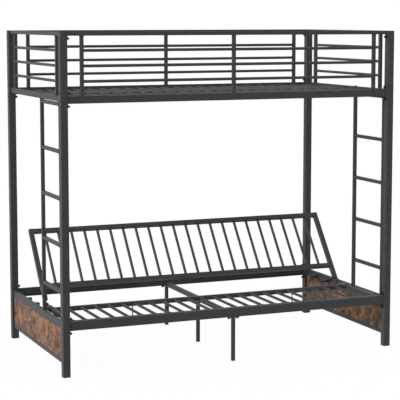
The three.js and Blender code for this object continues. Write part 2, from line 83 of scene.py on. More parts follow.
def seen_directly(tree):
    """A socket that is 1 for rays from the camera, a mirror or a glass."""
    path = tree.nodes.new("ShaderNodeLightPath")
    socket = path.outputs["Is Camera Ray"]
    for name in ("Is Glossy Ray", "Is Transmission Ray"):
        either = tree.nodes.new("ShaderNodeMath")
        either.operation = "MAXIMUM"
        tree.links.new(socket, either.inputs[0])
        tree.links.new(path.outputs[name], either.inputs[1])
        socket = either.outputs[0]
    return socket


def make_world():
    world = bpy.data.worlds.new("studio")
    world.use_nodes = True
    tree = world.node_tree
    light = tree.nodes["Background"]
    light.inputs["Color"].default_value = (1, 1, 1, 1)
    light.inputs["Strength"].default_value = WORLD_LIGHT
    backdrop = tree.nodes.new("ShaderNodeBackground")
    backdrop.inputs["Color"].default_value = (1, 1, 1, 1)
    mix = tree.nodes.new("ShaderNodeMixShader")
    tree.links.new(seen_directly(tree), mix.inputs[0])
    tree.links.new(light.outputs[0], mix.inputs[1])
    tree.links.new(backdrop.outputs[0], mix.inputs[2])
    tree.links.new(mix.outputs[0], tree.nodes["World Output"].inputs["Surface"])
    bpy.context.scene.world = world


def make_key_light():
    data = bpy.data.lights.new("key", "SUN")
    data.energy = KEY_STRENGTH
    data.angle = KEY_SOFTNESS
    light = bpy.data.objects.new("key", data)
    light.rotation_euler = KEY_TURN
    bpy.context.scene.collection.objects.link(light)


def make_floor():
    mesh = bpy.data.meshes.new("floor")
    half = FLOOR_SIZE / 2
    corners = [(-half, -half, 0), (half, -half, 0), (half, half, 0), (-half, half, 0)]
    mesh.from_pydata(corners, [], [range(len(corners))])
    floor = bpy.data.objects.new("floor", mesh)
    bpy.context.scene.collection.objects.link(floor)
    material = bpy.data.materials.new("floor")
    material.use_nodes = True
    tree = material.node_tree
    surface = tree.nodes["Principled BSDF"]
    surface.inputs["Base Color"].default_value = FLOOR_COLOUR
    surface.inputs["Roughness"].default_value = 1
    surface.inputs["Specular IOR Level"].default_value = 0
    white = tree.nodes.new("ShaderNodeEmission")
    white.inputs["Strength"].default_value = FLOOR_GLOW
    share = tree.nodes.new("ShaderNodeMath")
    share.operation = "MULTIPLY"
    share.inputs[1].default_value = FLOOR_WHITENESS
    mix = tree.nodes.new("ShaderNodeMixShader")
    tree.links.new(seen_directly(tree), share.inputs[0])
    tree.links.new(share.outputs[0], mix.inputs[0])
    tree.links.new(surface.outputs[0], mix.inputs[1])
    tree.links.new(white.outputs[0], mix.inputs[2])
    tree.links.new(mix.outputs[0], tree.nodes["Material Output"].inputs["Surface"])
    mesh.materials.append(material)


# Finishes. A noise's scale is in cells per metre, a bump is a strength and a depth in metres.

NOISE_RANGE = (0.3, 0.7)  # where most of a noise's values lie
MIX_INPUTS = (0, 6, 7)  # sockets of a colour Mix node: its share and its two colours
MIX_RESULT = 2

COAT_SHINE = 0.3
COAT_MOTTLE = {"Scale": 24, "Detail": 4, "Roughness": 0.6}
COAT_GRAIN = {"Scale": 1400, "Detail": 3, "Roughness": 0.7}
COAT_PEEL = {"Scale": 260, "Detail": 1}
COAT_DARK = (0.026, 0.027, 0.030)
COAT_LIGHT = (0.036, 0.037, 0.040)
COAT_PIT = (0.75, 0.75, 0.76)
COAT_PEAK = (1.1, 1.1, 1.1)
COAT_GRAIN_RANGE = (0.35, 0.62)
COAT_ROUGHNESS = (0.45, 0.62)
COAT_PEEL_BUMP = (0.25, 0.0004)
COAT_GRAIN_BUMP = (0.4, 0.0002)

PLASTIC_SHINE = 0.4
PLASTIC_MOTTLE = {"Scale": 60}
PLASTIC_GRAIN = {"Scale": 1500}
PLASTIC_DARK = (0.010, 0.010, 0.011)
PLASTIC_LIGHT = (0.016, 0.016, 0.017)
PLASTIC_ROUGHNESS = (0.45, 0.65)
PLASTIC_BUMP = (0.4, 0.0002)

BOLT_METAL = 0.6
BOLT_GRAIN = {"Scale": 700, "Detail": 3}
BOLT_BLOTCH = {"Scale": 150, "Detail": 3}
BOLT_BLOTCH_RANGE = (0.3, 0.75)
BOLT_DARK = (0.010, 0.010, 0.011)
BOLT_LIGHT = (0.022, 0.022, 0.024)
BOLT_ROUGHNESS = (0.32, 0.52)
BOLT_BUMP = (0.15, 0.0001)

WOOD_SHINE = 0.12
WOOD_DARK = (0.056, 0.039, 0.034)
WOOD_BROWN = (0.104, 0.059, 0.041)
WOOD_TAN = (0.175, 0.092, 0.053)
WOOD_LIGHT = (0.270, 0.148, 0.078)
WOOD_TONES = ((0.40, WOOD_DARK), (0.46, WOOD_BROWN), (0.51, WOOD_TAN), (0.58, WOOD_LIGHT))
WOOD_KNOT = (0.020, 0.015, 0.014)
KNOTS_PER_METRE = 10
KNOT_SHIFT = 0.13  # sets the two panels' knots apart
KNOT_REACH = 0.35  # this and the knot's range are in cells of the pattern of knots
KNOT_RANGE = (0.07, 0.15)
KNOT_CHOICE = (0.3, 0.4)  # cells whose colour is below this have no knot
KNOT_BEND = 0.02  # how far the grain bends around a knot, and sways elsewhere
SWAY_BEND = 0.04
WOOD_SWAY = {"Scale": 9}
WOOD_PATCH = {"Scale": 18, "Detail": 3, "Distortion": 0.5}
WOOD_FIGURE = {"Scale": 38, "Detail": 3, "Distortion": 1.0}
WOOD_LINE = {"Scale": 130}
WOOD_FIBRE = {"Scale": 450, "Roughness": 0.6}
PATCH_STRETCH = 1.05  # squeeze of each layer along the grain; below 1 it is drawn out
FIGURE_STRETCH = 0.75
LINE_STRETCH = 0.16
FIBRE_STRETCH = 0.06
FIGURE_SHARE = 0.45
LINE_SHARE = 0.2
FIBRE_SHARE = 0.1
WOOD_ROUGHNESS = (0.75, 0.5)
FIGURE_BUMP = (0.1, 0.0006)
LINE_BUMP = (0.2, 0.0004)
FIBRE_BUMP = (0.35, 0.0003)

BLACK = (0, 0, 0)
WHITE = (1, 1, 1)


class Finish:
    """A node material on the object's own coordinates, with short ways to add and join its nodes."""

    def __init__(self, name, **constants):
        self.material = bpy.data.materials.new(name)
        self.material.use_nodes = True
        self.tree = self.material.node_tree
        self.shader = self.tree.nodes["Principled BSDF"]
        for socket, value in constants.items():
            self.shader.inputs[socket.replace("_", " ")].default_value = value
        self.place = self.tree.nodes.new("ShaderNodeTexCoord").outputs["Object"]

    def node(self, kind, links=None, **settings):
        made = self.tree.nodes.new("ShaderNode" + kind)
        for key, value in settings.items():
            setattr(made, key, value)
        for socket, source in (links or {}).items():
            if isinstance(source, bpy.types.NodeSocket):
                self.tree.links.new(source, made.inputs[socket])
            else:
                made.inputs[socket].default_value = source
        return made

    def along_grain(self, stretch, source):
        return self.node("Mapping", {"Vector": source, "Scale": (1, 1, stretch)}).outputs[0]

    def maths(self, operation, one, other):
        return self.node("Math", {0: one, 1: other}, operation=operation).outputs[0]

    def noise(self, settings, vector=None):
        return self.node("TexNoise", {"Vector": vector or self.place, **settings}).outputs["Fac"]

    def ramp(self, source, *stops):
        made = self.node("ValToRGB", {"Fac": source})
        elements = made.color_ramp.elements
        while len(elements) < len(stops):
            elements.new(0.5)
        for element, (position, colour) in zip(elements, stops):
            element.position = position
            element.color = (*colour, 1)
        return made.outputs["Color"]

    def spread(self, source, taken, given):
        """The source, with the range that is taken from it mapped to the range that is given."""
        links = {"Value": source, "From Min": taken[0], "From Max": taken[1],
                 "To Min": given[0], "To Max": given[1]}
        return self.node("MapRange", links).outputs["Result"]

    def mix(self, share, one, other, blend="MIX"):
        made = self.node("Mix", data_type="RGBA", blend_type=blend)
        for socket, source in zip(MIX_INPUTS, (share, one, other)):
            if isinstance(source, bpy.types.NodeSocket):
                self.tree.links.new(source, made.inputs[socket])
            else:
                made.inputs[socket].default_value = source
        return made.outputs[MIX_RESULT]

    def colour(self, source):
        self.tree.links.new(source, self.shader.inputs["Base Color"])

    def roughness(self, source):
        self.tree.links.new(source, self.shader.inputs["Roughness"])

    def bump(self, *layers):
        """Layers of (height socket, strength, distance), coarse first."""
        normal = None
        for height, strength, distance in layers:
            links = {"Height": height, "Strength": strength, "Distance": distance}
            if normal:
                links["Normal"] = normal
            normal = self.node("Bump", links).outputs["Normal"]
        self.tree.links.new(normal, self.shader.inputs["Normal"])


def charcoal_powder_coat():
    """Dark grey powder coat: a fine sandy grain over a slight orange peel."""
    finish = Finish("charcoal_powder_coat", Specular_IOR_Level=COAT_SHINE)
    mottle = finish.noise(COAT_MOTTLE)
    grain = finish.noise(COAT_GRAIN)
    peel = finish.noise(COAT_PEEL)
    tone = finish.ramp(mottle, *zip(NOISE_RANGE, (COAT_DARK, COAT_LIGHT)))
    speck = finish.ramp(grain, *zip(COAT_GRAIN_RANGE, (COAT_PIT, COAT_PEAK)))
    finish.colour(finish.mix(1.0, tone, speck, "MULTIPLY"))
    finish.roughness(finish.spread(grain, NOISE_RANGE, COAT_ROUGHNESS))
    finish.bump((peel, *COAT_PEEL_BUMP), (grain, *COAT_GRAIN_BUMP))
    return finish.material


def black_plastic():
    """Moulded black plastic with a spark-eroded grain."""
    finish = Finish("black_plastic", Specular_IOR_Level=PLASTIC_SHINE)
    grain = finish.noise(PLASTIC_GRAIN)
    mottle = finish.noise(PLASTIC_MOTTLE)
    finish.colour(finish.ramp(mottle, *zip(NOISE_RANGE, (PLASTIC_DARK, PLASTIC_LIGHT))))
    finish.roughness(finish.spread(grain, NOISE_RANGE, PLASTIC_ROUGHNESS))
    finish.bump((grain, *PLASTIC_BUMP))
    return finish.material


def black_bolt():
    """Blackened steel of the bolts and nuts, a little glossier than the tubes."""
    finish = Finish("black_bolt", Metallic=BOLT_METAL)
    grain = finish.noise(BOLT_GRAIN)
    blotch = finish.noise(BOLT_BLOTCH)
    finish.colour(finish.ramp(blotch, *zip(BOLT_BLOTCH_RANGE, (BOLT_DARK, BOLT_LIGHT))))
    finish.roughness(finish.spread(grain, NOISE_RANGE, BOLT_ROUGHNESS))
    finish.bump((grain, *BOLT_BUMP))
    return finish.material


def rustic_wood():
    """A rustic board with upright grain: grey-brown patches on tan, dark knots and fine pores."""
    finish = Finish("rustic_wood", Specular_IOR_Level=WOOD_SHINE)
    apart = finish.node("SeparateXYZ", {0: finish.place}).outputs
    across = finish.maths("ADD", apart["Y"], finish.maths("MULTIPLY", apart["X"], KNOT_SHIFT))
    flat = finish.node("CombineXYZ", {"X": across, "Y": apart["Z"]}).outputs[0]
    cells = finish.node("TexVoronoi", {"Vector": flat, "Scale": KNOTS_PER_METRE}, voronoi_dimensions="2D")
    knot = cells.outputs["Distance"]

    near_knot = finish.spread(knot, (0, KNOT_REACH), (1, 0))
    around_knot = finish.maths("MULTIPLY", near_knot, KNOT_BEND)
    elsewhere = finish.maths("MULTIPLY", finish.noise(WOOD_SWAY), SWAY_BEND)
    aside = finish.node("CombineXYZ", {"Y": finish.maths("ADD", around_knot, elsewhere)}).outputs[0]
    swayed = finish.node("VectorMath", {0: finish.place, 1: aside}, operation="ADD").outputs[0]

    patch = finish.noise(WOOD_PATCH, finish.along_grain(PATCH_STRETCH, swayed))
    figure = finish.noise(WOOD_FIGURE, finish.along_grain(FIGURE_STRETCH, swayed))
    line = finish.noise(WOOD_LINE, finish.along_grain(LINE_STRETCH, swayed))
    fibre = finish.noise(WOOD_FIBRE, finish.along_grain(FIBRE_STRETCH, swayed))
    tone = finish.mix(FIGURE_SHARE, patch, figure)
    tone = finish.mix(LINE_SHARE, tone, line)
    tone = finish.mix(FIBRE_SHARE, tone, fibre)
    board = finish.ramp(tone, *WOOD_TONES)

    heart = finish.ramp(knot, *zip(KNOT_RANGE, (WHITE, BLACK)))
    chosen = finish.ramp(cells.outputs["Color"], *zip(KNOT_CHOICE, (BLACK, WHITE)))
    finish.colour(finish.mix(finish.mix(1.0, heart, chosen, "MULTIPLY"), board, (*WOOD_KNOT, 1)))
    finish.roughness(finish.spread(fibre, NOISE_RANGE, WOOD_ROUGHNESS))
    finish.bump((figure, *FIGURE_BUMP), (line, *LINE_BUMP), (fibre, *FIBRE_BUMP))
    return finish.material


def wear(node, material):
    mesh = nodes[node].data
    mesh.materials.clear()
    mesh.materials.append(material)


# Stock, as the solids have it
POST = 0.040
POST_CORNER = 0.003
RAIL = 0.020
LIGHT_TUBE = 0.019
FRAME_TUBE = 0.025
TUBE_CORNER = 0.002
BAR = 0.016
WIRE = 0.006
CORNER_STEPS = 4
BAR_SIDES = 20
EDGE = 0.0004  # broken edge of cut plates
WELD = 0.0021  # radius of a weld bead
WELD_STEP = 0.0032  # along a bead
WELD_SIDES = 5
WELD_RIPPLE = 0.14
CREASE = math.radians(32)  # edges sharper than this stay sharp

# Sizes that the nodes' boxes don't give
END_PLATE = 0.003
END_PLATE_WIDTH = 0.026
END_PLATE_REACH = 0.026
END_PLATE_DROP = 0.0015
BOLT_REACH = 0.0145
GUARD_BAR_PITCH = 0.0806
GUARD_LOWEST_BAR = 0.075
GUARD_BARS = 3
DECK_SPINE = 0.020
DECK_SPINE_WIDTH = 0.020
DECK_SLATS = 24
SLAT_PITCH = 0.0801
SLAT_DROP = 0.0005
PANEL = 0.015
PANEL_TAB = 0.003
PANEL_TAB_WIDTH = 0.025
PANEL_TAB_REACH = 0.028
PANEL_TAB_GAP = 0.082
LEDGE = 0.003
LEDGE_DEPTH = 0.018
LEDGE_INNER_END = 0.180
LEDGE_END_GAP = 0.040
SHELF = 0.003
SHELF_WIDTH = 0.030
SHELF_REACH = 0.047
SHELF_WEB = 0.012
SHELF_POST_GAP = 0.148
SHELF_PITCH = 0.160
LOWER_END_RAIL = 0.040
CROSSBAR = 0.020
FLANGE = 0.003
FOOT_BASE = 0.004
TUBE_WALL = 0.0015
BACKREST_GAP = 0.007
BACKREST_SETBACK = 0.107
ARM_SETBACK = 0.032
PIVOT_DROP = 0.0023
HINGE_PLATE = 0.003
HINGE_RADIUS = 0.011
TONGUE = 0.012
TONGUE_ROOT = 0.015
STUB_SETBACK = 0.028
CHEEK_SLOPE = 0.055
LOOP_BEND = 0.024
RUNNING_GAP = 0.0003

RING_STEPS = 14
ROUND_STEPS = 12
WIRE_SIDES = 12
LOOP_STEPS = 10
HINGE_STEPS = 20

# Fasteners; what has flats is measured from its axis to a flat
FACING = "facing"
FASTENER_SIDES = 24
HEX = 6
DOME_STEPS = 4
BREAK = 0.0004
WASHER = 0.009
WASHER_THICKNESS = 0.0014
HEAD = 0.0068
HEAD_TOP = 0.0044
HEAD_RIM = 0.0012
HEAD_HEIGHT = 0.0040
SOCKET = 0.0025
SOCKET_DEPTH = 0.0022
FLAT_HEAD = 0.0075
FLAT_HEAD_RIM = 0.0008
FLAT_HEAD_SLOPE = 0.0022
FLAT_HEAD_HEIGHT = 0.0018
NUT = 0.0065
NUT_HEIGHT = 0.0062
CAP = 0.0058
CAP_HEIGHT = 0.0062
SCREW = 0.0048
SCREW_RIM = 0.0010
SCREW_HEIGHT = 0.0026
SCREW_CROWN = 0.0012
SCREW_SOCKET = 0.0016
LEG_BOLT_PITCH = 0.050
STUB_BOLT = 0.036
ARM_BOLT = 0.041
CAP_INSET = 0.0009
CAP_BEVEL = 0.0009
FOOT_EDGE = 0.0008
LEG_FOOT_LIP = 0.0015
PANEL_EDGE = 0.0012


# Places that the nodes give


def low_of(node):
    return Vector(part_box(node)[0])


def high_of(node):
    return Vector(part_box(node)[1])


def middle_of(node):
    return (low_of(node) + high_of(node)) / 2


def reach_of(node):
    return low_of(node), high_of(node), middle_of(node)


# Outlines, as points in the plane across an axis


def rounded(width, height, centre=(0, 0), corner=TUBE_CORNER, steps=CORNER_STEPS):
    points = []
    for quarter, (su, sv) in enumerate(((1, 1), (-1, 1), (-1, -1), (1, -1))):
        u = centre[0] + su * (width / 2 - corner)
        v = centre[1] + sv * (height / 2 - corner)
        for step in range(steps + 1):
            turn = math.pi / 2 * (quarter + step / steps)
            points.append((u + corner * math.cos(turn), v + corner * math.sin(turn)))
    return points


def arc(centre, radius, start, end, steps):
    turns = [start + (end - start) * step / steps for step in range(steps + 1)]
    return [(centre[0] + radius * math.cos(turn), centre[1] + radius * math.sin(turn)) for turn in turns]


def disc(diameter, centre=(0, 0), sides=BAR_SIDES):
    return arc(centre, diameter / 2, 0, math.tau, sides)[:-1]


def shrunk(outline, edge):
    """The outline drawn in by about the broken edge, towards the middle of its box."""
    us, vs = zip(*outline)
    u0, v0 = (max(us) + min(us)) / 2, (max(vs) + min(vs)) / 2
    su = 1 - 2 * edge / (max(us) - min(us))
    sv = 1 - 2 * edge / (max(vs) - min(vs))
    return [(u0 + (u - u0) * su, v0 + (v - v0) * sv) for u, v in outline]


AXES = "xyz"


def at(axis, along, u, v):
    return {"x": (along, u, v), "y": (u, along, v), "z": (u, v, along)}[axis]


def about_x(angle):
    return Matrix.Rotation(angle, len(AXES), "X")


class Steelwork:
    """Tubes, bars, plates and weld beads that make one piece."""

    def __init__(self):
        self.bm = bmesh.new()

    def loft(self, rings, closed=False):
        made = [[self.bm.verts.new(point) for point in ring] for ring in rings]
        count = len(rings[0])
        pairs = list(zip(made, made[1:]))
        if closed:
            pairs.append((made[-1], made[0]))
        for one, other in pairs:
            for i in range(count):
                j = (i + 1) % count
                self.bm.faces.new((one[i], one[j], other[j], other[i]))
        if not closed:
            self.bm.faces.new(reversed(made[0]))
            self.bm.faces.new(made[-1])

    def prism(self, axis, start, end, outline, edge=0.0):
        levels = [(start, outline), (end, outline)]
        if edge:
            inner = shrunk(outline, edge)
            levels = [(start, inner), (start + edge, outline), (end - edge, outline), (end, inner)]
        self.loft([[at(axis, level, u, v) for u, v in ring] for level, ring in levels])

    def tube(self, axis, start, end, centre, width, height=None, corner=TUBE_CORNER):
        self.prism(axis, start, end, rounded(width, height or width, centre, corner))

    def bar(self, axis, start, end, centre, diameter=BAR, sides=BAR_SIDES, edge=0.0):
        self.prism(axis, start, end, disc(diameter, centre, sides), edge)

    def plate(self, low, high, edge=EDGE):
        """A flat plate with broken edges between two corners."""
        low, high = (Vector(map(min, low, high)), Vector(map(max, low, high)))
        thin = min(range(len(AXES)), key=lambda i: high[i] - low[i])
        axis = AXES[thin]
        u, v = [i for i in range(len(AXES)) if i != thin]
        centre = ((low[u] + high[u]) / 2, (low[v] + high[v]) / 2)
        outline = rounded(high[u] - low[u], high[v] - low[v], centre, corner=2 * edge, steps=2)
        self.prism(axis, low[thin], high[thin], outline, edge)

    def weld(self, axis, along, outline):
        """A rippled bead around an outline, where a tube's end meets another piece."""
        path = []
        for (u0, v0), (u1, v1) in zip(outline, outline[1:] + outline[:1]):
            parts = max(1, round(math.hypot(u1 - u0, v1 - v0) / WELD_STEP))
            path += [(u0 + (u1 - u0) * i / parts, v0 + (v1 - v0) * i / parts) for i in range(parts)]
        rings = []
        for i, (u, v) in enumerate(path):
            before, after = path[i - 1], path[(i + 1) % len(path)]
            run = Vector((after[0] - before[0], after[1] - before[1])).normalized()
            radius = WELD * (1 + WELD_RIPPLE * math.cos(math.pi * i))
            ring = []
            for side in range(WELD_SIDES):
                turn = math.tau * side / WELD_SIDES
                out, on = radius * math.cos(turn), radius * math.sin(turn)
                ring.append(at(axis, along + on, u + run.y * out, v - run.x * out))
            rings.append(ring)
        self.loft(rings, closed=True)

    def add(self, mesh):
        self.bm.from_mesh(mesh)
        bpy.data.meshes.remove(mesh)

    def turn(self, pivot, angle):
        bmesh.ops.rotate(self.bm, cent=pivot, matrix=about_x(angle), verts=self.bm.verts)

    def finish(self, name, material, replaces=(), body="bed_frame"):
        bmesh.ops.recalc_face_normals(self.bm, faces=self.bm.faces)
        mesh = bpy.data.meshes.new(name)
        self.bm.to_mesh(mesh)
        self.bm.free()
        return dress(name, mesh, material, replaces, body)


def dress(name, mesh, material, replaces=(), body="bed_frame"):
    """Makes a piece of a mesh: smooth where its edges are soft, in its material and on its body."""
    mesh.materials.clear()
    mesh.materials.append(material)
    for face in mesh.polygons:
        face.material_index = 0
    mesh.shade_smooth()
    mesh.set_sharp_from_angle(angle=CREASE)
    piece = bpy.data.objects.new(name, mesh)
    bpy.context.scene.collection.objects.link(piece)
    weighted = piece.modifiers.new("flat_faces", "WEIGHTED_NORMAL")
    weighted.keep_sharp = True
    piece.data = evaluated(piece)
    piece.modifiers.clear()
    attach(piece, body)
    if replaces:
        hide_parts(*replaces)
    return piece


def evaluated(piece):
    graph = bpy.context.evaluated_depsgraph_get()
    graph.update()
    mesh = bpy.data.meshes.new_from_object(piece.evaluated_get(graph), depsgraph=graph)
    mesh.name = piece.name
    return mesh


# Rows and bead rings, by geometry nodes


def input_socket(tree, name, kind):
    return tree.interface.new_socket(name, in_out="INPUT", socket_type="NodeSocket" + kind)


def slat_row_tree():
    """A row of round slats across the bed, with weld rings at their ends and around each inner crossing."""
    tree = bpy.data.node_groups.new("slat_row", "GeometryNodeTree")
    input_socket(tree, "Count", "Int")
    for name in ("Pitch", "Length", "Diameter", "Weld", "Inner Weld Place"):
        input_socket(tree, name, "Float")
    input_socket(tree, "Centre", "Vector")
    input_socket(tree, "Material", "Material")
    tree.interface.new_socket("Row", in_out="OUTPUT", socket_type="NodeSocketGeometry")
    entry = tree.nodes.new("NodeGroupInput")
    leave = tree.nodes.new("NodeGroupOutput")

    def node(kind, links=None, **settings):
        made = tree.nodes.new(kind)
        for key, value in settings.items():
            setattr(made, key, value)
        for socket, source in (links or {}).items():
            if isinstance(source, bpy.types.NodeSocket):
                tree.links.new(source, made.inputs[socket])
            else:
                made.inputs[socket].default_value = source
        return made

    def maths(operation, one, other):
        return node("ShaderNodeMath", {0: one, 1: other}, operation=operation).outputs[0]

    given = entry.outputs
    radius = maths("MULTIPLY", given["Diameter"], 0.5)
    end = maths("MULTIPLY", given["Length"], 0.5)
    quarter = (math.pi / 2, 0, 0)
    sizes = {"Vertices": BAR_SIDES, "Radius": radius, "Depth": given["Length"]}
    upright = node("GeometryNodeMeshCylinder", sizes).outputs["Mesh"]
    slat = node("GeometryNodeTransform", {"Geometry": upright, "Rotation": quarter})

    circle = node("GeometryNodeCurvePrimitiveCircle", {"Resolution": RING_STEPS, "Radius": radius})
    section = node("GeometryNodeCurvePrimitiveCircle", {"Resolution": WELD_SIDES, "Radius": given["Weld"]})
    sweep = {"Curve": circle.outputs["Curve"], "Profile Curve": section.outputs["Curve"]}
    bead = node("GeometryNodeCurveToMesh", sweep).outputs[0]
    ring = node("GeometryNodeTransform", {"Geometry": bead, "Rotation": quarter})
    parts = node("GeometryNodeJoinGeometry")
    tree.links.new(slat.outputs[0], parts.inputs[0])
    for place in (end, given["Inner Weld Place"]):
        for sign in (-1, 1):
            shift = node("ShaderNodeCombineXYZ", {"Y": maths("MULTIPLY", place, sign)}).outputs[0]
            moved = node("GeometryNodeTransform", {"Geometry": ring.outputs[0], "Translation": shift})
            tree.links.new(moved.outputs[0], parts.inputs[0])

    gaps = maths("SUBTRACT", given["Count"], 1)
    half_row = maths("MULTIPLY", maths("MULTIPLY", gaps, given["Pitch"]), -0.5)
    back = node("ShaderNodeCombineXYZ", {"X": half_row}).outputs[0]
    first = node("ShaderNodeVectorMath", {0: given["Centre"], 1: back})
    step = node("ShaderNodeCombineXYZ", {"X": given["Pitch"]}).outputs[0]
    line = {"Count": given["Count"], "Start Location": first.outputs[0], "Offset": step}
    points = node("GeometryNodeMeshLine", line).outputs[0]
    copies = node("GeometryNodeInstanceOnPoints", {"Points": points, "Instance": parts.outputs[0]})
    realised = node("GeometryNodeRealizeInstances", {"Geometry": copies.outputs[0]}).outputs[0]
    painted = node("GeometryNodeSetMaterial", {"Geometry": realised, "Material": given["Material"]})
    tree.links.new(painted.outputs[0], leave.inputs[0])
    return tree


def fastener_tree():
    """A copy of one fastener on each point, its axis along the point's facing."""
    tree = bpy.data.node_groups.new("fasteners", "GeometryNodeTree")
    input_socket(tree, "Places", "Geometry")
    input_socket(tree, "Fastener", "Object")
    input_socket(tree, "Material", "Material")
    tree.interface.new_socket("Row", in_out="OUTPUT", socket_type="NodeSocketGeometry")
    given = tree.nodes.new("NodeGroupInput").outputs
    leave = tree.nodes.new("NodeGroupOutput")
    facing = tree.nodes.new("GeometryNodeInputNamedAttribute")
    facing.data_type = "FLOAT_VECTOR"
    facing.inputs["Name"].default_value = FACING
    turn = tree.nodes.new("FunctionNodeAlignRotationToVector")
    turn.axis = "Z"
    tree.links.new(facing.outputs["Attribute"], turn.inputs["Vector"])
    shape = tree.nodes.new("GeometryNodeObjectInfo")
    tree.links.new(given["Fastener"], shape.inputs["Object"])
    copies = tree.nodes.new("GeometryNodeInstanceOnPoints")
    tree.links.new(given["Places"], copies.inputs["Points"])
    tree.links.new(shape.outputs["Geometry"], copies.inputs["Instance"])
    tree.links.new(turn.outputs["Rotation"], copies.inputs["Rotation"])
    realised = tree.nodes.new("GeometryNodeRealizeInstances")
    tree.links.new(copies.outputs[0], realised.inputs[0])
    painted = tree.nodes.new("GeometryNodeSetMaterial")
    tree.links.new(realised.outputs[0], painted.inputs["Geometry"])
    tree.links.new(given["Material"], painted.inputs["Material"])
    tree.links.new(painted.outputs[0], leave.inputs[0])
    return tree


def grown(tree, start, **inputs):
    """The plain mesh that a tree makes with these named inputs."""
    seed = bpy.data.objects.new("seed", start or bpy.data.meshes.new("seed"))
    bpy.context.scene.collection.objects.link(seed)
    modifier = seed.modifiers.new("nodes", "NODES")
    modifier.node_group = tree
    for socket in tree.interface.items_tree:
        name = socket.name.replace(" ", "_")
        if socket.in_out == "INPUT" and name in inputs:
            modifier[socket.identifier] = inputs[name]
    mesh = evaluated(seed)
    bpy.data.objects.remove(seed)
    return mesh


# Pieces of the bed


def make_post(name):
    low, high = low_of(name), high_of(name)
    x, y = middle_of(name).x, middle_of(name).y
    steel = Steelwork()
    outline = rounded(POST, POST, (x, y), POST_CORNER)
    inner = shrunk(outline, CAP_INSET)
    levels = [(low.z, outline), (high.z - CAP_BEVEL, outline), (high.z, inner)]
    steel.loft([[(u, v, level) for u, v in ring] for level, ring in levels])
    steel.finish(name + "_tube", COAT, [name])


def ground_flush(seam, bottom=-math.inf, top=math.inf):
    """The line of a weld that is ground off level with the bottom or the top of its tube."""
    sunk = WELD * (1 + WELD_RIPPLE)
    return [(u, min(max(v, bottom + sunk), top - sunk)) for u, v in seam]


def make_side_rail(name, is_top, ledge_side=0):
    low, high = low_of(name), high_of(name)
    x0, x1, y = low.x, high.x, (low.y + high.y) / 2
    rail_top = high.z if is_top else high.z - END_PLATE_REACH
    if ledge_side:
        y = math.copysign(high_of("post_back_left").y - POST / 2, ledge_side)
    bottom = low.z + END_PLATE_REACH
    steel = Steelwork()
    height = rail_top - bottom
    steel.tube("x", x0 + END_PLATE / 2, x1 - END_PLATE / 2, (y, (rail_top + bottom) / 2), RAIL, height)
    half = END_PLATE_WIDTH / 2
    plate_top = rail_top - END_PLATE_DROP if is_top else high.z
    if is_top:
        upper = [(y + half, plate_top), (y - half, plate_top)]
    else:
        upper = arc((y, plate_top - half), half, 0, math.pi, ROUND_STEPS)
    outline = upper + arc((y, low.z + half), half, math.pi, math.tau, ROUND_STEPS)
    seam = rounded(RAIL, height, (y, (rail_top + bottom) / 2))
    if is_top:
        seam = ground_flush(seam, top=rail_top)
    for start, end, face in ((x0, x0 + END_PLATE, x0 + END_PLATE), (x1 - END_PLATE, x1, x1 - END_PLATE)):
        steel.prism("x", start, end, outline, EDGE)
        steel.weld("x", face, seam)
    if ledge_side:
        face = y - math.copysign(RAIL / 2, ledge_side)
        lip = face - math.copysign(LEDGE_DEPTH, ledge_side)
        top = low_of("seat_frame").z - RUNNING_GAP
        for sx in (-1, 1):
            end = x1 - LEDGE_END_GAP
            steel.plate((sx * LEDGE_INNER_END, face, top - LEDGE), (sx * end, lip, top))
    steel.finish(name + "_tube", COAT, [name])


def make_guard(name, axis, places):
    low, high = low_of(name), high_of(name)
    middle = middle_of(name)
    across = middle.y if axis == "x" else middle.x
    i = AXES.index(axis)
    steel = Steelwork()
    uprights = [low[i] + LIGHT_TUBE / 2, high[i] - LIGHT_TUBE / 2] + places
    for along in uprights:
        centre = (along, across) if axis == "x" else (across, along)
        steel.tube("z", low.z, high.z, centre, LIGHT_TUBE)
        for level in (low.z, high.z):
            steel.weld("z", level, rounded(LIGHT_TUBE, LIGHT_TUBE, centre))
    for i_bar in range(GUARD_BARS):
        level = low.z + GUARD_LOWEST_BAR + i_bar * GUARD_BAR_PITCH
        steel.bar(axis, uprights[0], uprights[1], (across, level))
        for along in uprights:
            for face in (along - LIGHT_TUBE / 2, along + LIGHT_TUBE / 2):
                if uprights[0] < face < uprights[1]:
                    steel.weld(axis, face, disc(BAR, (across, level), RING_STEPS))
    steel.finish(name + "_bars", COAT, [name])


def panel_tabs(steel, sx, low, high):
    inner = sx * (high_of("post_back_right").x - POST / 2 - PANEL / 2)
    outer = high_of("post_back_left").y - POST - PANEL_TAB_GAP
    for y in (-outer, 0, outer):
        half = PANEL_TAB_WIDTH / 2
        steel.plate((inner, y - half, low), (inner - sx * PANEL_TAB, y + half, high))


